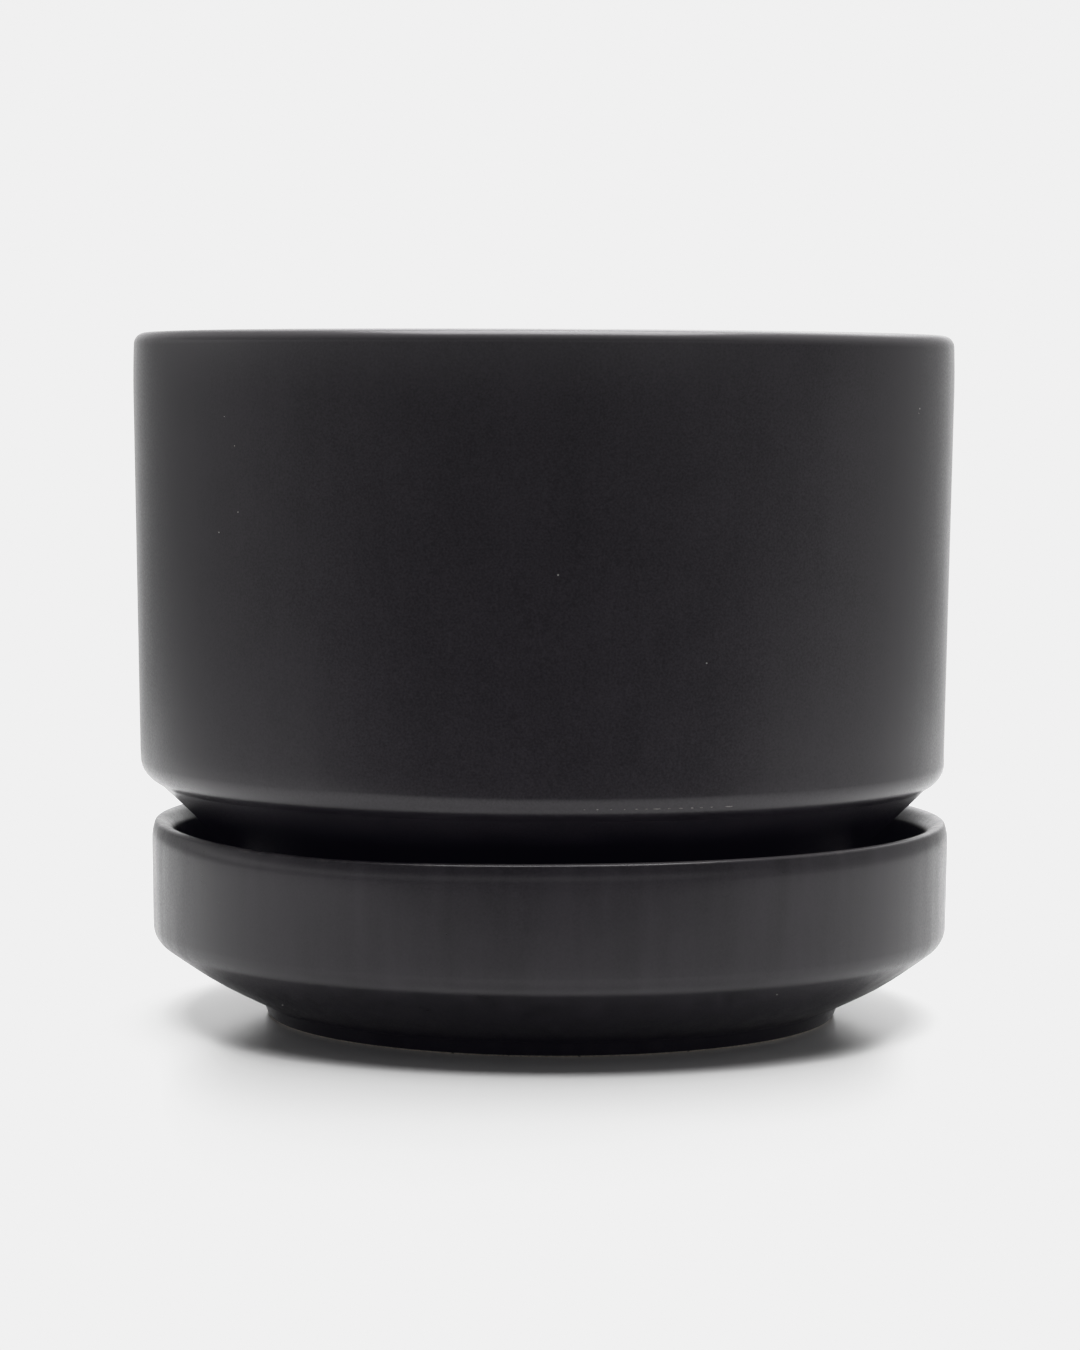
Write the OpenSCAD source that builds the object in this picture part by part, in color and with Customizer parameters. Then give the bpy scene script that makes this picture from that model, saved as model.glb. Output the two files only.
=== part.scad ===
// Stoneware plant pot standing in its own drip saucer.
// Units are millimetres, +Z is up, the table top is z = 0 and the pot's axis is the Z axis.
// Both pieces are turned bodies: each is one closed outline spun about its axis.

/* [Pot] */
// Outer diameter of the pot at its mouth
mouth_d = 167; // [160:1:180]
// Height of the pot's lip above the table
top_z = 138.5; // [125:0.5:160]
// Thickness of the pot's wall
pot_wall = 5.5; // [4:0.5:7]
// Taper of each side wall from upright, in degrees
wall_draft = 1; // [0:0.1:2]
// Height at which the side wall turns in under itself
belly_z = 49.9; // [48:0.1:56]
// Rounding of the wall's lower edge
belly_round = 5; // [3:0.5:6.5]
// How far the rounded lower edge runs in towards the axis
belly_run = 3.6; // [3.4:0.1:6]
// How far it drops over that run
belly_drop = 2.3; // [1:0.1:3]
// Slope of the cone below it, in degrees from level
cone_slope = 43.7; // [40:0.1:46]
// Outer radius where the cone meets the foot
neck_r = 58; // [57:0.5:60]
// Outer radius of the foot where it stands in the saucer
pot_foot_r = 54.5; // [50:0.5:55]
// Outer rounding of the lip
pot_lip_round = 2.2; // [2:0.1:4]

/* [Drainage] */
// Radius of the hole in the pot's floor
drain_r = 6; // [4:0.5:10]
// Number of drainage notches across the pot's foot ring
notch_count = 3; // [2:1:6]
// Width of a notch
notch_w = 9; // [4:1:14]
// Height of a notch
notch_h = 2; // [1:0.5:2.5]

/* [Saucer] */
// Outer diameter of the saucer at its lip
saucer_d = 163; // [160:0.5:168]
// Height of the saucer's lip above the table
saucer_h = 40; // [36:0.5:42]
// Thickness of the saucer's wall at its lip
saucer_wall = 4.7; // [4.6:0.1:5.5]
// Height at which the saucer's wall turns in to its bevel
bevel_z = 16.2; // [14:0.1:17]
// Rounding between the saucer's wall and its bevel
bevel_round = 5; // [4:0.5:8]
// Outer radius where the bevel meets the foot ring
bevel_foot_r = 59.2; // [59:0.1:61]
// How far the bevel bulges out between its two ends
bevel_crown = 1; // [0.5:0.1:1.1]
// Outer radius of the foot ring on the table
saucer_foot_r = 58; // [56:0.5:58.5]
// Height of the foot ring, and depth of the recess inside it
foot_h = 3; // [2:0.1:3.2]
// Thickness of the saucer's floor
saucer_floor = 4.5; // [4:0.5:5.5]
// Rounding of the lip's outer edge
saucer_lip_round = 0.8; // [0.5:0.1:1]
// Rounding of the lip's inner edge
lip_inner_round = 3.2; // [1:0.1:3.2]
// How far the wall leans in over its last few millimetres below the lip
lip_lean = 0.75; // [0.5:0.05:0.75]
// Height over which it leans in
lip_lean_h = 2.2; // [2.2:0.1:4]
// How far the saucer stands off the pot's axis, within the play of the pot's foot
saucer_shift = 1.6; // [0:0.1:2]

/* [Hidden] */
$fn = 240;
GLAZE = [0.085, 0.082, 0.09];
// Angle spanned by one chord of a rounded corner
ROUND_STEP = 8;
// Width of both foot rings, the run of their inner sides, and the height of the pot's own ring
FOOT_RING_W = 5.5;
RING_RUN = 1.25;
POT_FOOT_H = 3.1;
// Roundings of small edges, of the pot's inner lip edge, of its inside, and of the saucer's lean
EDGE_ROUND = 0.6;
INNER_LIP_ROUND = 1.2;
INSIDE_ROUND = 8;
LEAN_ROUND = 10;
// How far along the bevel its bulge is rounded, to each side of the middle
CROWN_REACH = 5;

draft = tan(wall_draft);

// Saucer: the height of its inside floor, and its inside bevel parallel to the outside one
well_z = foot_h + saucer_floor;
bevel_slope = (bevel_z - foot_h) / (saucer_d / 2 - bevel_foot_r);
bevel_lift = saucer_wall * sqrt(1 + bevel_slope * bevel_slope);
well_r = bevel_foot_r - (bevel_lift + foot_h - well_z) / bevel_slope;
saucer_belly_r = saucer_d / 2 - draft * (saucer_h - bevel_z);
well_wall_r = saucer_belly_r - saucer_wall;
well_wall_z = well_z + bevel_slope * (well_wall_r - well_r);

// Middle of the saucer's bevel, pushed out square to it by the bulge, and the rounding there
bevel_half = norm([saucer_belly_r - bevel_foot_r, bevel_z - foot_h]) / 2;
crown_r = (saucer_belly_r + bevel_foot_r) / 2 + bevel_crown * (bevel_z - foot_h) / (2 * bevel_half);
crown_z = (bevel_z + foot_h) / 2 - bevel_crown * (saucer_belly_r - bevel_foot_r) / (2 * bevel_half);
crown_round = CROWN_REACH * bevel_half / bevel_crown;

// Pot: outer corners from the mouth down to the foot, which stands on the saucer's inside floor
pot_foot_z = well_z;
belly_r = mouth_d / 2 - draft * (top_z - belly_z);
crease_r = belly_r - belly_run;
crease_z = belly_z - belly_drop;
neck_z = crease_z - (crease_r - neck_r) * tan(cone_slope);

// Pot: inner corners, one wall thickness in from the outer ones
pot_inner_top_r = mouth_d / 2 - pot_wall;
pot_inner_belly_r = belly_r - pot_wall;
pot_inner_belly_z = belly_z + pot_wall * tan(cone_slope / 2);
pot_inner_neck_r = neck_r - pot_wall - 1;
pot_inner_neck_z = pot_inner_belly_z - (pot_inner_belly_r - pot_inner_neck_r) * tan(cone_slope);
pot_underside_z = pot_foot_z + POT_FOOT_H;
pot_floor_z = pot_underside_z + pot_wall;
pot_inner_foot_r = pot_foot_r - pot_wall;

// Points of the arc that rounds corner b, between its neighbours a and c, to radius b[2]
function corner_arc(a, b, c) =
    let (p = [b[0], b[1]],
         to_a = [a[0], a[1]] - p,
         to_c = [c[0], c[1]] - p,
         u = to_a / norm(to_a),
         v = to_c / norm(to_c),
         half = acos(u * v) / 2,
         start = p + u * b[2] / tan(half),
         middle = p + (u + v) / norm(u + v) * b[2] / sin(half),
         from = atan2(start[1] - middle[1], start[0] - middle[0]),
         turn = (180 - 2 * half) * sign(u[1] * v[0] - u[0] * v[1]),
         steps = ceil((180 - 2 * half) / ROUND_STEP))
    [for (i = [0:steps]) middle + b[2] * [cos(from + turn * i / steps), sin(from + turn * i / steps)]];

// Outline through corners [radius, height, rounding], with every rounded corner replaced by its arc
function rounded(corners) =
    let (last = len(corners) - 1)
    [for (i = [0:last])
        let (b = corners[i], a = corners[i == 0 ? last : i - 1], c = corners[i == last ? 0 : i + 1])
        each b[2] == 0 ? [[b[0], b[1]]] : corner_arc(a, b, c)];

module turned(corners) {
    rotate_extrude() polygon(rounded(corners));
}

// Slots cut out from under the pot, so water leaves the space inside its foot ring
module drainage_notches() {
    for (i = [0:notch_count - 1])
        rotate([0, 0, 90 + 360 * i / notch_count])
            translate([pot_foot_r - 2 * FOOT_RING_W, -notch_w / 2, pot_foot_z - 1])
                cube([3 * FOOT_RING_W, notch_w, notch_h + 1]);
}

module pot() {
    color(GLAZE)
        difference() {
            turned([
                [0, pot_underside_z, 0],
                [pot_foot_r - FOOT_RING_W - RING_RUN, pot_underside_z, EDGE_ROUND],
                [pot_foot_r - FOOT_RING_W, pot_foot_z, EDGE_ROUND],
                [pot_foot_r, pot_foot_z, EDGE_ROUND],
                [neck_r, neck_z, INSIDE_ROUND],
                [crease_r, crease_z, EDGE_ROUND],
                [belly_r, belly_z, belly_round],
                [mouth_d / 2, top_z, pot_lip_round],
                [pot_inner_top_r, top_z, INNER_LIP_ROUND],
                [pot_inner_belly_r, pot_inner_belly_z, INSIDE_ROUND],
                [pot_inner_neck_r, pot_inner_neck_z, INSIDE_ROUND],
                [pot_inner_foot_r, pot_floor_z, INSIDE_ROUND / 2],
                [0, pot_floor_z, 0]
            ]);
            translate([0, 0, pot_foot_z])
                cylinder(r = drain_r, h = pot_floor_z);
            drainage_notches();
        }
}

module saucer() {
    color(GLAZE)
        translate([saucer_shift, 0, 0])
            turned([
                [0, foot_h, 0],
                [saucer_foot_r - FOOT_RING_W - RING_RUN, foot_h, EDGE_ROUND],
                [saucer_foot_r - FOOT_RING_W, 0, EDGE_ROUND],
                [saucer_foot_r, 0, EDGE_ROUND],
                [bevel_foot_r, foot_h, EDGE_ROUND],
                [crown_r, crown_z, crown_round],
                [saucer_belly_r, bevel_z, bevel_round],
                [saucer_d / 2 - draft * lip_lean_h, saucer_h - lip_lean_h, LEAN_ROUND],
                [saucer_d / 2 - lip_lean, saucer_h, saucer_lip_round],
                [saucer_d / 2 - saucer_wall, saucer_h, lip_inner_round],
                [well_wall_r, well_wall_z, INSIDE_ROUND / 2],
                [well_r, well_z, INSIDE_ROUND / 2],
                [0, well_z, 0]
            ]);
}

pot();
saucer();
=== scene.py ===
import math

import bpy
import numpy as np
from mathutils import Matrix, Vector


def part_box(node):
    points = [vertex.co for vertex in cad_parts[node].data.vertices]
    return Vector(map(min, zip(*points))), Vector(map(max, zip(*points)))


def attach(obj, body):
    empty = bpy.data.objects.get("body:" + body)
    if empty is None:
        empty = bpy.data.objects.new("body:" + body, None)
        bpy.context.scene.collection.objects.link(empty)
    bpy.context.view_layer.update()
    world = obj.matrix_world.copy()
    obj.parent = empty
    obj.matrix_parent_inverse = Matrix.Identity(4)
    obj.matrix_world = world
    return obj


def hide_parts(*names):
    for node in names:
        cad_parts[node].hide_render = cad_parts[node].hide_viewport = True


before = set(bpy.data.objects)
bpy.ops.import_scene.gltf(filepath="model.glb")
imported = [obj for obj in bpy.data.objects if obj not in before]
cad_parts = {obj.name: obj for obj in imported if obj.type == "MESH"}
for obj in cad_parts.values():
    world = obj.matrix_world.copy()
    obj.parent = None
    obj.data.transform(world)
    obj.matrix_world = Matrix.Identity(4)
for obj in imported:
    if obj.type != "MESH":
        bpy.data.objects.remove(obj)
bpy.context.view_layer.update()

MM = 0.001
pot_low, pot_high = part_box("pot")
saucer_low, saucer_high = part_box("saucer")

# ---------------------------------------------------------------- sizes, in millimetres
# Both outlines repeat the CAD model's corners and its large roundings, in finer steps. Small edges are
# rounded up to 0.4 mm more or less than in CAD, and the drain hole's edges are rounded too.

SEGMENTS = 320
ARC_STEP = math.radians(6)
STRETCH_STEP = 2.4

DRAFT = math.tan(math.radians(1))
MOUTH_R = 83.5
TOP_Z = pot_high.z / MM
POT_WALL = 5.5
BELLY_Z = 49.9
BELLY_R = MOUTH_R - DRAFT * (TOP_Z - BELLY_Z)
CREASE_R = BELLY_R - 3.6
CREASE_Z = BELLY_Z - 2.3
CONE = math.tan(math.radians(43.7))
NECK_R = 58
POT_FOOT_R = 54.5
POT_FOOT_Z = pot_low.z / MM
POT_UNDER_Z = POT_FOOT_Z + 3.1
POT_FLOOR_Z = POT_UNDER_Z + POT_WALL
INNER_BELLY_R = BELLY_R - POT_WALL
INNER_BELLY_Z = BELLY_Z + POT_WALL * math.tan(math.atan(CONE) / 2)
INNER_NECK_R = NECK_R - POT_WALL - 1
DRAIN_R = 6
NOTCHES = 3
NOTCH_W = 9
NOTCH_H = 2

SAUCER_X = (saucer_low.x + saucer_high.x) / 2 / MM
SAUCER_R = 81.5
SAUCER_H = saucer_high.z / MM
SAUCER_WALL = 4.7
BEVEL_Z = 16.2
BEVEL_FOOT_R = 59.2
BEVEL_CROWN = 1.0
CROWN_REACH = 5
SAUCER_FOOT_R = 58
FOOT_H = 3.0
SHOULDER_IN = 0.75
SHOULDER_DROP = 2.2
WELL_Z = POT_FOOT_Z
FOOT_RING_W = 5.5
RING_RUN = 1.25
SAUCER_BELLY_R = SAUCER_R - DRAFT * (SAUCER_H - BEVEL_Z)
BEVEL_SLOPE = (BEVEL_Z - FOOT_H) / (SAUCER_R - BEVEL_FOOT_R)
BEVEL_LIFT = SAUCER_WALL * math.hypot(1, BEVEL_SLOPE)
WELL_R = BEVEL_FOOT_R - (BEVEL_LIFT + FOOT_H - WELL_Z) / BEVEL_SLOPE
WELL_WALL_R = SAUCER_BELLY_R - SAUCER_WALL
BEVEL_RUN, BEVEL_RISE = SAUCER_BELLY_R - BEVEL_FOOT_R, BEVEL_Z - FOOT_H
BEVEL_LENGTH = math.hypot(BEVEL_RUN, BEVEL_RISE)
CROWN_R = BEVEL_FOOT_R + BEVEL_RUN / 2 + BEVEL_CROWN * BEVEL_RISE / BEVEL_LENGTH
CROWN_Z = FOOT_H + BEVEL_RISE / 2 - BEVEL_CROWN * BEVEL_RUN / BEVEL_LENGTH
CROWN_ROUND = CROWN_REACH * BEVEL_LENGTH / 2 / BEVEL_CROWN

POT_CORNERS = [
    (DRAIN_R, POT_UNDER_Z, 0.5),
    (POT_FOOT_R - FOOT_RING_W - RING_RUN, POT_UNDER_Z, 1.0),
    (POT_FOOT_R - FOOT_RING_W, POT_FOOT_Z, 0.6),
    (POT_FOOT_R, POT_FOOT_Z, 0.6),
    (NECK_R, CREASE_Z - (CREASE_R - NECK_R) * CONE, 8),
    (CREASE_R, CREASE_Z, 0.7),
    (BELLY_R, BELLY_Z, 5),
    (MOUTH_R, TOP_Z, 2.2),
    (MOUTH_R - POT_WALL, TOP_Z, 1.2),
    (INNER_BELLY_R, INNER_BELLY_Z, 8),
    (INNER_NECK_R, INNER_BELLY_Z - (INNER_BELLY_R - INNER_NECK_R) * CONE, 8),
    (POT_FOOT_R - POT_WALL, POT_FLOOR_Z, 4),
    (DRAIN_R, POT_FLOOR_Z, 0.8),
]

SAUCER_CORNERS = [
    (0, FOOT_H, 0),
    (SAUCER_FOOT_R - FOOT_RING_W - RING_RUN, FOOT_H, 1.0),
    (SAUCER_FOOT_R - FOOT_RING_W, 0, 0.6),
    (SAUCER_FOOT_R, 0, 0.5),
    (BEVEL_FOOT_R, FOOT_H, 0.5),
    (CROWN_R, CROWN_Z, CROWN_ROUND),
    (SAUCER_BELLY_R, BEVEL_Z, 5),
    (SAUCER_R - DRAFT * SHOULDER_DROP, SAUCER_H - SHOULDER_DROP, 10),
    (SAUCER_R - SHOULDER_IN, SAUCER_H, 0.8),
    (SAUCER_R - SAUCER_WALL, SAUCER_H, 3.2),
    (WELL_WALL_R, WELL_Z + BEVEL_SLOPE * (WELL_WALL_R - WELL_R), 4),
    (WELL_R, WELL_Z, 4),
    (0, WELL_Z, 0),
]


# ---------------------------------------------------------------- turned meshes

def corner_arc(a, b, c):
    """Points of the arc that rounds corner b, between neighbours a and c, to radius b[2]."""
    p = np.array(b[:2], float)
    u = np.array(a[:2], float) - p
    v = np.array(c[:2], float) - p
    u /= np.linalg.norm(u)
    v /= np.linalg.norm(v)
    half = math.acos(float(u @ v)) / 2
    middle = p + (u + v) / np.linalg.norm(u + v) * b[2] / math.sin(half)
    start = p + u * b[2] / math.tan(half) - middle
    turn = (math.pi - 2 * half) * np.sign(u[1] * v[0] - u[0] * v[1])
    first = math.atan2(start[1], start[0])
    steps = max(3, math.ceil(abs(turn) / ARC_STEP))
    angles = first + turn * np.arange(steps + 1) / steps
    return [middle + b[2] * np.array((math.cos(t), math.sin(t))) for t in angles]


def outline(corners, closed):
    """The outline [radius, height] with corners rounded and long stretches divided."""
    sharp = []
    last = len(corners) - 1
    for i, b in enumerate(corners):
        if b[2] == 0 or (not closed and i in (0, last)):
            sharp.append(np.array(b[:2], float))
        else:
            sharp.extend(corner_arc(corners[i - 1], b, corners[(i + 1) % len(corners)]))
    if closed:
        sharp.append(sharp[0])
    path = [sharp[0]]
    for p, q in zip(sharp, sharp[1:]):
        pieces = max(1, math.ceil(np.linalg.norm(q - p) / STRETCH_STEP))
        path.extend(p + (q - p) * k / pieces for k in range(1, pieces + 1))
    if closed:
        path.pop()
    return np.array(path)


def sharpness(path, closed):
    """How sharply each point of the outline turns outwards: 0 where flat or hollow, 1 at a thin edge."""
    before, after = np.roll(path, 1, 0), np.roll(path, -1, 0)
    into, out = path - before, after - path
    turn = np.arctan2(into[:, 0] * out[:, 1] - into[:, 1] * out[:, 0], (into * out).sum(1))
    length = (np.linalg.norm(into, axis=1) + np.linalg.norm(out, axis=1)) / 2
    bend = np.clip(turn / length * 1.5 - 0.5, 0, 1)
    if not closed:
        bend[[0, -1]] = 0
    return bend


def turned(name, corners, closed, centre_x, shape):
    """A piece spun about an upright axis at centre_x.

    shape(r, z, angle) gives each point its final radius and height. Attribute "edge" holds the sharpness."""
    path = outline(corners, closed)
    bend = sharpness(path, closed)
    angle = np.arange(SEGMENTS) * 2 * math.pi / SEGMENTS
    points, edge, rings = [], [], []
    for (r, z), worn in zip(path, bend):
        if r < 1e-6:
            rings.append([len(points)])
            points.append((centre_x, 0, z))
            edge.append(0)
            continue
        rings.append(list(range(len(points), len(points) + SEGMENTS)))
        radius, height = shape(np.full(SEGMENTS, r), np.full(SEGMENTS, z), angle)
        points.extend(zip(centre_x + radius * np.cos(angle), radius * np.sin(angle), height))
        edge.extend([worn] * SEGMENTS)
    faces = []
    pairs = list(zip(rings, rings[1:])) + ([(rings[-1], rings[0])] if closed else [])
    for low, high in pairs:
        for j in range(SEGMENTS):
            k = (j + 1) % SEGMENTS
            if len(low) == 1:
                faces.append((low[0], high[k], high[j]))
            elif len(high) == 1:
                faces.append((low[j], low[k], high[0]))
            else:
                faces.append((low[j], low[k], high[k], high[j]))
    mesh = bpy.data.meshes.new(name)
    mesh.from_pydata([tuple(float(c) * MM for c in p) for p in points], [], faces)
    mesh.attributes.new("edge", "FLOAT", "POINT").data.foreach_set("value", np.array(edge, np.float32))
    mesh.shade_smooth()
    piece = bpy.data.objects.new(name, mesh)
    bpy.context.scene.collection.objects.link(piece)
    return piece


# How far the pot's lip leans in, and over what height
LIP_LEAN = 0.4
LIP_LEAN_H = 13
# How far the cone stands off the pot's axis, and how much lower the belly's edge hangs on that side
CONE_OFF_CENTRE = 0.45
BELLY_SAG = 0.35
# How far the saucer's foot stands off the middle of its lip
FOOT_OFF_CENTRE = 0.4
# A dip in the saucer's lip: how deep, where round from +X, and how wide
LIP_DIP = 0.65
LIP_DIP_AT = math.radians(-123)
LIP_DIP_REACH = math.radians(24)
# The cone's shift starts this far above the belly's edge, and is full this much lower
BELLY_ABOVE = 4
BELLY_FADE = 10
# The belly's sag fades out this far above and below its edge
SAG_REACH = 20
# The saucer's shift is full this far below its bevel's corner, and the lip's dip this far above it
FOOT_FADE = 8
LIP_DIP_RISE = 22
# Width of the slope at each side of a drainage notch, and how far inside the foot ring a notch starts
NOTCH_SLOPE = 1.2
NOTCH_INSIDE = 1.3


def pot_shape(r, z, angle):
    """Unevenness of the hand-finished pot, and its drainage notches."""
    grown = 0.08 * np.cos(2 * angle + 0.7) + 0.03 * np.cos(3 * angle - 1.1)
    grown = grown + 0.02 * np.cos(7 * angle) - 0.14
    grown = grown - LIP_LEAN * np.clip((z - TOP_Z + LIP_LEAN_H) / LIP_LEAN_H, 0, 1) ** 2
    below_belly = np.clip((BELLY_Z + BELLY_ABOVE - z) / BELLY_FADE, 0, 1)
    off_centre = CONE_OFF_CENTRE * below_belly * np.clip(r / NECK_R, 0, 1)
    height = z + 0.05 * (np.cos(2 * angle - 0.4) - 1) * np.clip((z - POT_FLOOR_Z) / TOP_Z, 0, 1)
    near_belly = np.clip(1 - np.abs(z - BELLY_Z) / SAG_REACH, 0, 1)
    height = height - BELLY_SAG / 2 * (1 + np.cos(angle)) * near_belly
    off_notch = np.full_like(angle, np.inf)
    for i in range(NOTCHES):
        centre = math.pi / 2 + 2 * math.pi * i / NOTCHES
        away = np.abs((angle - centre + math.pi) % (2 * math.pi) - math.pi) * r
        off_notch = np.minimum(off_notch, away)
    ramp = np.clip((NOTCH_W / 2 + NOTCH_SLOPE / 2 - off_notch) / NOTCH_SLOPE, 0, 1)
    on_ring = (r > POT_FOOT_R - FOOT_RING_W - NOTCH_INSIDE) & (r < NECK_R)
    low = np.clip(1 - (z - POT_FOOT_Z) / (2 * NOTCH_H), 0, 1)
    outside = (r > POT_FOOT_R - FOOT_RING_W / 2) | (z < POT_UNDER_Z)
    height = height + np.where(on_ring & outside, NOTCH_H * ramp * low, 0)
    return r + grown * np.clip(z / TOP_Z, 0, 1) + off_centre * np.cos(angle), height


def saucer_shape(r, z, angle):
    """Unevenness of the saucer, whose foot stays flat on the table."""
    up = np.clip(z / SAUCER_H, 0, 1)
    grown = 0.08 * np.cos(2 * angle + 2.0) + 0.03 * np.cos(3 * angle + 0.5) - 0.12
    below_bevel = np.clip((BEVEL_Z - z) / FOOT_FADE, 0, 1)
    off_centre = FOOT_OFF_CENTRE * below_bevel * np.clip(r / WELL_R, 0, 1)
    height = z + 0.05 * (np.cos(2 * angle + 1.2) - 1) * up * (r > WELL_R)
    from_dip = (angle - LIP_DIP_AT + math.pi) % (2 * math.pi) - math.pi
    above_bevel = np.clip((z - BEVEL_Z) / LIP_DIP_RISE, 0, 1)
    height = height - LIP_DIP * np.exp(-(from_dip / LIP_DIP_REACH) ** 2) * above_bevel
    return r + grown * up + off_centre * np.cos(angle), height


# ---------------------------------------------------------------- grit in the glaze

# A grain's mesh, and how far it stands out of the glaze and is sunk into it
GRAIN_RINGS = 3
GRAIN_SIDES = 10
GRAIN_PROUD = 0.16
GRAIN_SUNK = 0.05


def outer_side(corners, closed):
    """The outline's outer side, from the foot up to the lip."""
    path = outline(corners, closed)
    foot = np.flatnonzero(path[:, 1] == path[:, 1].min())[-1]
    return path[foot:path[:, 1].argmax()]


def grit(name, corners, closed, centre_x, shape, grains):
    """Grains of grit standing out of the glaze, each a low dome sunk a little way in.

    A grain is its place round the piece in degrees from the front, its height, its length and its width."""
    side = outer_side(corners, closed)
    points, faces = [], []
    for turn, z, long, wide in grains:
        angle = math.radians(turn - 90)
        r, rise = np.interp([z, z + 0.5], side[:, 1], side[:, 0])
        radius, height = shape(np.array([r]), np.array([z]), np.array([angle]))
        middle = Vector((centre_x + radius[0] * math.cos(angle), radius[0] * math.sin(angle), height[0]))
        along = Vector((-math.sin(angle), math.cos(angle), 0))
        out = Vector((0.5 * math.cos(angle), 0.5 * math.sin(angle), r - rise)).normalized()
        up = out.cross(along)
        first = len(points)
        for ring in range(GRAIN_RINGS):
            lean = math.pi / 2 * ring / GRAIN_RINGS
            for k in range(GRAIN_SIDES):
                spin = 2 * math.pi * k / GRAIN_SIDES
                flat = along * long / 2 * math.cos(spin) + up * wide / 2 * math.sin(spin)
                proud = GRAIN_PROUD * math.sin(lean) - GRAIN_SUNK
                points.append(middle + flat * math.cos(lean) + out * proud)
        points.append(middle + out * (GRAIN_PROUD - GRAIN_SUNK))
        for ring in range(GRAIN_RINGS):
            for k in range(GRAIN_SIDES):
                a, b = first + ring * GRAIN_SIDES + k, first + ring * GRAIN_SIDES + (k + 1) % GRAIN_SIDES
                if ring + 1 < GRAIN_RINGS:
                    faces.append((a, b, b + GRAIN_SIDES, a + GRAIN_SIDES))
                else:
                    faces.append((a, b, first + GRAIN_RINGS * GRAIN_SIDES))
    mesh = bpy.data.meshes.new(name)
    mesh.from_pydata([tuple(c * MM for c in p) for p in points], [], faces)
    mesh.shade_smooth()
    piece = bpy.data.objects.new(name, mesh)
    bpy.context.scene.collection.objects.link(piece)
    return piece


POT_GRAINS = [
    (-46.7, 122, 0.2, 0.2), (-44.7, 116.5, 0.26, 0.26), (-44.2, 104, 0.28, 0.28), (-48.2, 100, 0.34, 0.34),
    (1.9, 93.5, 0.36, 0.36), (21.6, 77, 0.28, 0.28), (61, 124, 0.44, 0.36), (60.7, 123.1, 0.3, 0.26),
]
# A broken line of grit along the belly's lower edge
BELLY_LINE_Z = 50.3
BELLY_LINE = [
    (5.5, 0.35), (7.2, 0.4), (9, 0.5), (10.8, 0.35), (12.4, 0.6), (13.7, 0.5), (15.1, 1.6), (16.8, 0.6),
    (18.4, 0.9), (20, 0.5), (21.3, 0.7), (22.8, 0.5), (25.3, 1.8),
]
POT_GRAINS += [(turn, BELLY_LINE_Z, long, 0.2) for turn, long in BELLY_LINE]
SAUCER_GRAINS = [(34, 13.2, 0.4, 0.34), (-49.9, 7.6, 0.5, 0.4)]


# ---------------------------------------------------------------- materials

def new_material(name):
    material = bpy.data.materials.new(name)
    material.use_nodes = True
    nodes = material.node_tree.nodes
    nodes.clear()
    surface = nodes.new("ShaderNodeBsdfPrincipled")
    output = nodes.new("ShaderNodeOutputMaterial")
    material.node_tree.links.new(surface.outputs[0], output.inputs["Surface"])
    return material, surface


class Graph:
    """Short calls for the nodes that these materials are made of."""

    def __init__(self, material):
        self.tree = material.node_tree

    def node(self, kind, **inputs):
        made = self.tree.nodes.new("ShaderNode" + kind)
        for key, value in inputs.items():
            self.put(made.inputs[key.replace("_", " ")], value)
        return made

    def put(self, socket, value):
        if isinstance(value, bpy.types.NodeSocket):
            self.tree.links.new(value, socket)
        else:
            socket.default_value = value

    def position(self, scale=(1, 1, 1)):
        place = self.node("TexCoord").outputs["Object"]
        return self.node("Mapping", Vector=place, Scale=scale).outputs[0]

    def noise(self, vector, scale, detail=2.0, roughness=0.5):
        made = self.node("TexNoise", Vector=vector, Scale=scale, Detail=detail, Roughness=roughness)
        return made.outputs["Fac"]

    def math(self, operation, a, b=0.0):
        made = self.tree.nodes.new("ShaderNodeMath")
        made.operation = operation
        self.put(made.inputs[0], a)
        self.put(made.inputs[1], b)
        return made.outputs[0]

    def remap(self, value, low, high, to_low, to_high):
        made = self.tree.nodes.new("ShaderNodeMapRange")
        for socket, number in zip(made.inputs[:5], (value, low, high, to_low, to_high)):
            self.put(socket, number)
        return made.outputs[0]

    def mix(self, factor, a, b):
        made = self.tree.nodes.new("ShaderNodeMix")
        made.data_type = "RGBA"
        self.put(made.inputs[0], factor)
        self.put(made.inputs[6], a)
        self.put(made.inputs[7], b)
        return made.outputs[2]


GLAZE_DARK = (0.0008, 0.0006, 0.0009, 1)
GLAZE_LIGHT = (0.0120, 0.0104, 0.0128, 1)
GLOSS_TINT = (0.97, 0.885, 1.0, 1)
WORN = (0.14, 0.13, 0.125, 1)
# Lighter glaze at a lip. On the pot this is painted glare: a lighter band that stands in for
# the haze of light that the photo has under the pot's lip.
LIP_GLAZE_AND_GLARE = (0.061, 0.0575, 0.0605, 1)
POT_GLARE_Z = (TOP_Z - 2.7, TOP_Z - 1.1)
SAUCER_RIM_Z = (SAUCER_H - 0.6, SAUCER_H)
SPECK = (0.30, 0.29, 0.27, 1)
GRIT_DARK = (0.16, 0.15, 0.14, 1)
GRIT_LIGHT = (0.32, 0.31, 0.30, 1)


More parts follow.
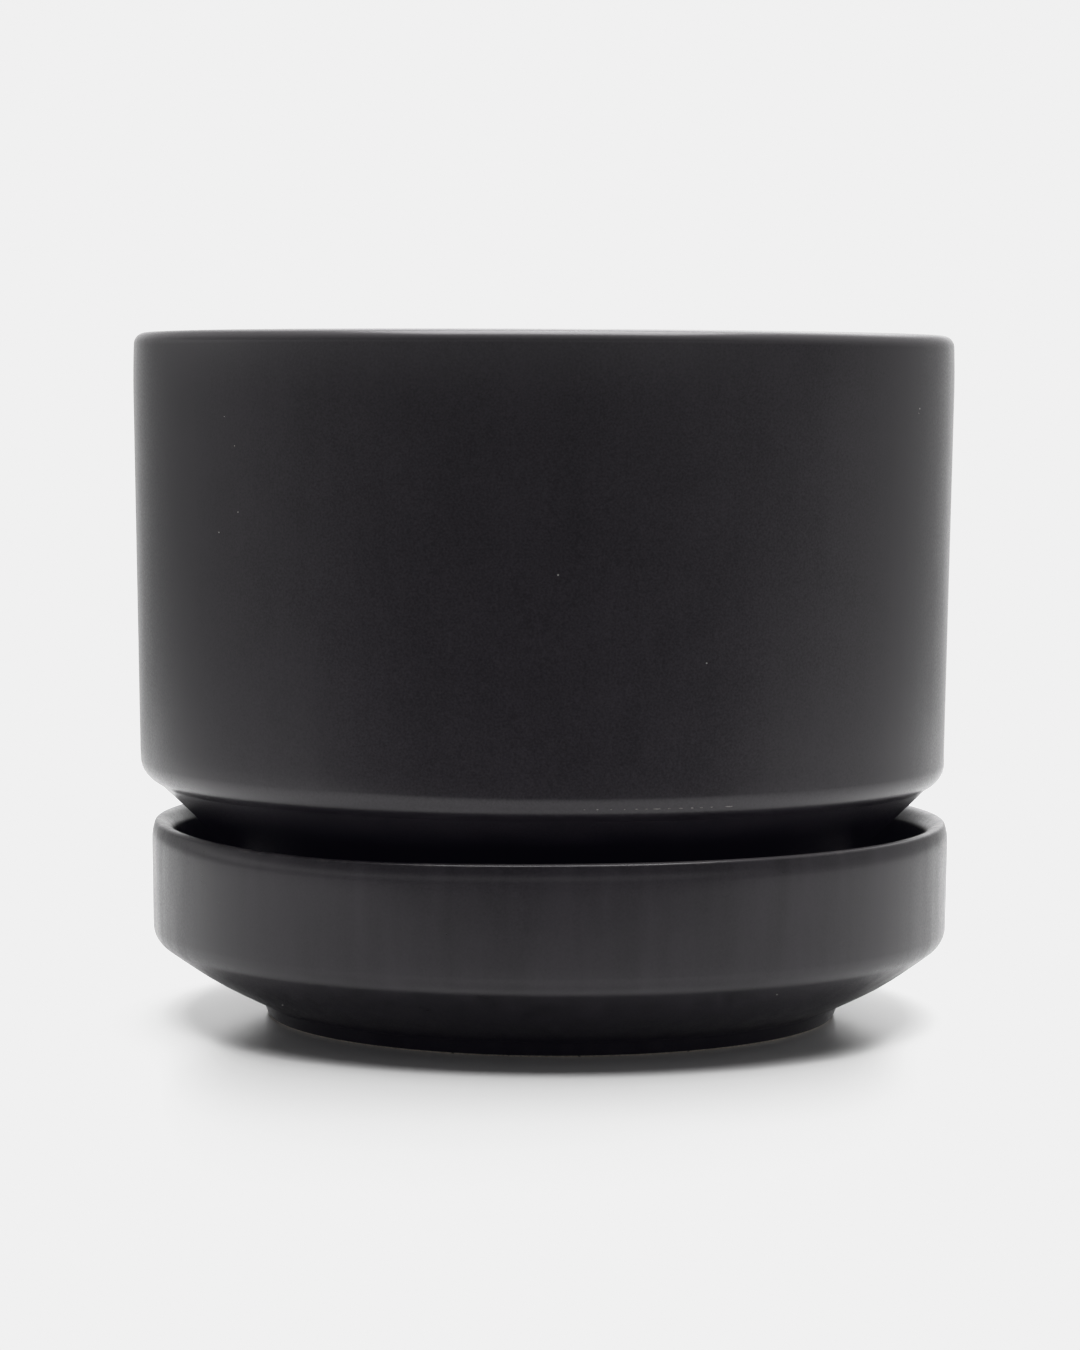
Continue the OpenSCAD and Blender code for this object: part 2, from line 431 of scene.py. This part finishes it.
def glaze(name, wipe_share, lip_glaze_and_glare_z):
    """Matte black glaze: fine grain, soft mottling, upright wipe marks, light specks and thin edges.

    It turns lighter between the two heights it is given, in millimetres, and stays so above them. On the pot
    this lighter band is painted glare."""
    material, surface = new_material(name)
    g = Graph(material)
    place = g.position()
    grain = g.noise(place, 2300, 3, 0.6)
    mottle = g.noise(place, 75, 4, 0.55)
    wipes = g.noise(g.position((190, 190, 26)), 1.0, 2, 0.5)
    tone = g.math("ADD", g.math("MULTIPLY", grain, 0.8 - wipe_share), g.math("MULTIPLY", mottle, 0.2))
    tone = g.math("ADD", tone, g.math("MULTIPLY", wipes, wipe_share))
    colour = g.mix(g.remap(tone, 0.36, 0.64, 0, 1), GLAZE_DARK, GLAZE_LIGHT)

    cells = g.node("TexVoronoi", Vector=place, Scale=150)
    chosen = g.node("SeparateColor", Color=cells.outputs["Color"]).outputs[0]
    near = g.remap(cells.outputs["Distance"], 0.012, 0.03, 1, 0)
    speck = g.math("MULTIPLY", near, g.remap(chosen, 0.90, 0.91, 0, 1))
    colour = g.mix(g.math("MULTIPLY", speck, 0.5), colour, SPECK)

    height = g.node("SeparateXYZ", Vector=place).outputs["Z"]
    # Lighter band up to the lip: lighter glaze on the saucer, painted glare on the pot
    colour = g.mix(g.remap(height, lip_glaze_and_glare_z[0] * MM, lip_glaze_and_glare_z[1] * MM, 0, 1), colour, LIP_GLAZE_AND_GLARE)

    edge = g.node("Attribute")
    edge.attribute_name = "edge"
    patchy = g.remap(g.noise(place, 260, 4, 0.7), 0.5, 0.66, 0, 1)
    thin = g.math("MULTIPLY", edge.outputs["Fac"], patchy)
    colour = g.mix(g.math("MULTIPLY", thin, 0.15), colour, WORN)
    g.put(surface.inputs["Base Color"], colour)

    rough = g.remap(mottle, 0.3, 0.7, 0.37, 0.43)
    rough = g.math("ADD", rough, g.math("MULTIPLY", g.remap(wipes, 0.35, 0.65, -0.12, 0.12), wipe_share))
    g.put(surface.inputs["Roughness"], g.math("ADD", rough, g.remap(grain, 0.3, 0.7, -0.08, 0.08)))
    bump = g.node("Bump", Strength=0.09, Distance=0.00003, Height=grain)
    g.put(surface.inputs["Normal"], bump.outputs[0])
    g.put(surface.inputs["Coat Normal"], bump.outputs[0])
    surface.inputs["IOR"].default_value = 1.5
    surface.inputs["Specular Tint"].default_value = GLOSS_TINT
    surface.inputs["Specular IOR Level"].default_value = 0.15
    surface.inputs["Coat Weight"].default_value = 0.55
    surface.inputs["Coat Roughness"].default_value = 0.24
    surface.inputs["Coat IOR"].default_value = 1.5
    return material


def bare_clay(name):
    """Unglazed foot: buff-grey fired clay with dark iron spots."""
    material, surface = new_material(name)
    g = Graph(material)
    place = g.position()
    sand = g.noise(place, 1500, 4, 0.65)
    iron = g.remap(g.noise(place, 900, 2, 0.5), 0.66, 0.72, 0, 1)
    colour = g.mix(g.remap(sand, 0.35, 0.65, 0, 1), (0.42, 0.38, 0.33, 1), (0.72, 0.66, 0.58, 1))
    g.put(surface.inputs["Base Color"], g.mix(iron, colour, (0.03, 0.022, 0.018, 1)))
    g.put(surface.inputs["Roughness"], g.remap(sand, 0.3, 0.7, 0.78, 0.95))
    bump = g.node("Bump", Strength=0.6, Distance=0.00008, Height=sand)
    g.put(surface.inputs["Normal"], bump.outputs[0])
    return material


def fired_grit(name):
    """Pale melted grit."""
    material, surface = new_material(name)
    g = Graph(material)
    patches = g.noise(g.position(), 5000, 2, 0.5)
    g.put(surface.inputs["Base Color"], g.mix(g.remap(patches, 0.35, 0.65, 0, 1), GRIT_DARK, GRIT_LIGHT))
    g.put(surface.inputs["Roughness"], g.remap(patches, 0.3, 0.7, 0.35, 0.55))
    bump = g.node("Bump", Strength=0.3, Distance=0.00002, Height=patches)
    g.put(surface.inputs["Normal"], bump.outputs[0])
    return material


# ---------------------------------------------------------------- pieces

# A foot ring's clay is bare up to this height above its underside
BARE_CLAY_H = 0.9

pot = turned("pot_stoneware", POT_CORNERS, True, 0.0, pot_shape)
saucer = turned("saucer_stoneware", SAUCER_CORNERS, False, SAUCER_X, saucer_shape)
clay = bare_clay("bare_clay")

for piece, body, node, finish, foot_z in (
    (pot, "pot", "pot", glaze("pot_glaze", 0.08, POT_GLARE_Z), POT_FOOT_Z),
    (saucer, "saucer", "saucer", glaze("saucer_glaze", 0.42, SAUCER_RIM_Z), 0.0),
):
    piece.data.materials.append(finish)
    piece.data.materials.append(clay)
    for face in piece.data.polygons:
        if face.center.z < (foot_z + BARE_CLAY_H) * MM:
            face.material_index = 1
    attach(piece, body)
    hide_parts(node)

pot_grit = grit("pot_grit", POT_CORNERS, True, 0.0, pot_shape, POT_GRAINS)
saucer_grit = grit("saucer_grit", SAUCER_CORNERS, False, SAUCER_X, saucer_shape, SAUCER_GRAINS)
pale = fired_grit("fired_grit")
for piece, body in ((pot_grit, "pot"), (saucer_grit, "saucer")):
    piece.data.materials.append(pale)
    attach(piece, body)

# ---------------------------------------------------------------- studio

TABLE_FRONT = -0.23
TABLE_REACH = 0.5


def floor():
    mesh = bpy.data.meshes.new("studio_floor")
    w = TABLE_REACH
    mesh.from_pydata([(-w, TABLE_FRONT, 0), (w, TABLE_FRONT, 0), (w, w, 0), (-w, w, 0)], [], [(0, 1, 2, 3)])
    made = bpy.data.objects.new("studio_floor", mesh)
    bpy.context.scene.collection.objects.link(made)
    material, surface = new_material("studio_floor")
    surface.inputs["Base Color"].default_value = (0.80, 0.80, 0.80, 1)
    surface.inputs["Roughness"].default_value = 0.20
    mesh.materials.append(material)


floor()

# Brightness of the studio along Y, from the camera's side (-1) to the back wall (+1)
STUDIO_RING = [(-1.0, 0.11), (-0.755, 0.18), (-0.39, 0.31), (0.0, 0.46), (0.5, 0.42), (0.695, 0.40),
               (0.82, 0.48), (0.906, 0.80), (0.966, 1.3), (1.0, 1.5)]
# A softly lit screen stands high behind the pot: its direction, its width as cosines, and its brightness
SCREEN_TOWARDS = (0.12, 0.64, 0.76)
SCREEN_WIDTH = (0.848, 0.975)
SCREEN_BRIGHT = 4.0
# A low bright panel ahead of the pot and to its left, seen only as a first reflection: its direction, its
# width as cosines, the sines between which it rises from the horizon, those between which it ends, and its
# brightness
PANEL_TOWARDS = (-0.5, -0.85, 0)
PANEL_WIDTH = (-0.3, 0.4)
PANEL_RISE = (0.0, 0.07)
PANEL_END = (0.11, 0.2)
PANEL_BRIGHT = 1.15
# What the camera itself sees behind the pot
BACKDROP = (1.2, 1.2, 1.2, 1)


def facing(sky, towards):
    """Cosine of the angle between the direction looked in and towards."""
    made = sky.tree.nodes.new("ShaderNodeVectorMath")
    made.operation = "DOT_PRODUCT"
    sky.put(made.inputs[0], sky.node("TexCoord").outputs["Generated"])
    sky.put(made.inputs[1], tuple(Vector(towards).normalized()))
    return made.outputs["Value"]


world = bpy.data.worlds.new("studio")
bpy.context.scene.world = world
world.use_nodes = True
sky = Graph(world)
sky.tree.nodes.clear()
direction = sky.node("SeparateXYZ", Vector=sky.node("TexCoord").outputs["Generated"])
ring = sky.tree.nodes.new("ShaderNodeValToRGB")
ramp = ring.color_ramp
ramp.interpolation = "LINEAR"
while len(ramp.elements) > 1:
    ramp.elements.remove(ramp.elements[-1])
for i, (y, bright) in enumerate(STUDIO_RING):
    stop = ramp.elements[0] if i == 0 else ramp.elements.new((y + 1) / 2)
    stop.position = (y + 1) / 2
    stop.color = (bright, bright, bright, 1)
sky.put(ring.inputs[0], sky.remap(direction.outputs["Y"], -1, 1, 0, 1))
ceiling = sky.remap(direction.outputs["Z"], 0.5, 0.9, 1, 0.25)
aside = sky.remap(direction.outputs["X"], -1, 1, 0.72, 1.28)
lit = sky.math("MULTIPLY", sky.math("MULTIPLY", ring.outputs[0], ceiling), aside)
lit = sky.math("ADD", lit, sky.remap(facing(sky, SCREEN_TOWARDS), *SCREEN_WIDTH, 0, SCREEN_BRIGHT))
path = sky.node("LightPath")
mirrored = sky.math("LESS_THAN", path.outputs["Glossy Depth"], 1.5)
mirrored = sky.math("MULTIPLY", mirrored, path.outputs["Is Glossy Ray"])
panel = sky.math("MULTIPLY", sky.remap(facing(sky, PANEL_TOWARDS), *PANEL_WIDTH, 0, 1), mirrored)
panel = sky.math("MULTIPLY", panel, sky.remap(direction.outputs["Z"], *PANEL_RISE, 0, PANEL_BRIGHT))
panel = sky.math("MULTIPLY", panel, sky.remap(direction.outputs["Z"], *PANEL_END, 1, 0))
lit = sky.math("ADD", lit, panel)
shown = sky.mix(path.outputs["Is Camera Ray"], lit, BACKDROP)
background = sky.node("Background", Color=shown, Strength=1.0)
sky.put(sky.node("OutputWorld").inputs["Surface"], background.outputs[0])

SOFTBOX_HEIGHT = 6.0
SOFTBOX_X = (-2.6, 2.9)
SOFTBOX_Y = (-2.3, 1.9)
SOFTBOX_RADIANCE = 9.8

width, depth = SOFTBOX_X[1] - SOFTBOX_X[0], SOFTBOX_Y[1] - SOFTBOX_Y[0]
softbox_data = bpy.data.lights.new("overhead_softbox", "AREA")
softbox_data.shape = "RECTANGLE"
softbox_data.size, softbox_data.size_y = width, depth
softbox_data.energy = SOFTBOX_RADIANCE * math.pi * width * depth
softbox = bpy.data.objects.new("overhead_softbox", softbox_data)
softbox.location = (sum(SOFTBOX_X) / 2, sum(SOFTBOX_Y) / 2, SOFTBOX_HEIGHT)
softbox.visible_camera = False
bpy.context.scene.collection.objects.link(softbox)

# ---------------------------------------------------------------- camera

# The sensor's size is along the picture's longer side, its height
SENSOR = 36.0
FOCAL_IN_IMAGE_HEIGHTS = 2.865
CAMERA_X = -0.0005
CAMERA_DISTANCE = 0.7903
CAMERA_HEIGHT = 0.1264
LOOK_DOWN = 0.0724
ROLL = 0.0043

camera_data = bpy.data.cameras.new("camera")
camera_data.sensor_width = SENSOR
camera_data.lens = SENSOR * FOCAL_IN_IMAGE_HEIGHTS
camera_data.clip_start = 0.05
camera_data.clip_end = 200
camera = bpy.data.objects.new("camera", camera_data)
camera.matrix_world = (
    Matrix.Translation((CAMERA_X, -CAMERA_DISTANCE, CAMERA_HEIGHT))
    @ Matrix.Rotation(math.pi / 2 - LOOK_DOWN, 4, "X")
    @ Matrix.Rotation(ROLL, 4, "Z")
)
bpy.context.scene.collection.objects.link(camera)
bpy.context.scene.camera = camera

# Bright tones roll off to a light grey paper white: scene brightness, then what it prints as
ROLL_OFF = [(0.0, 0.0), (0.6, 0.6), (0.7, 0.675), (0.8, 0.727), (0.9, 0.775), (1.0, 0.818), (1.1, 0.855),
            (1.2, 0.871)]
# What black prints as, in red, green and blue
BLACK_PRINTS = (0.0009, 0.0008, 0.0016)
view = bpy.context.scene.view_settings
view.view_transform = "Standard"
view.look = "None"
view.use_curve_mapping = True
curve = view.curve_mapping
curve.extend = "HORIZONTAL"
brightest = ROLL_OFF[-1][0]
curve.white_level = (brightest, brightest, brightest)
points = curve.curves[3].points
points[-1].location = (1.0, ROLL_OFF[-1][1])
for bright, printed in ROLL_OFF[1:-1]:
    points.new(bright / brightest, printed)
for point in points:
    point.handle_type = "VECTOR"
for channel, printed in zip(curve.curves[:3], BLACK_PRINTS):
    channel.points[0].location = (0, printed)
curve.update()
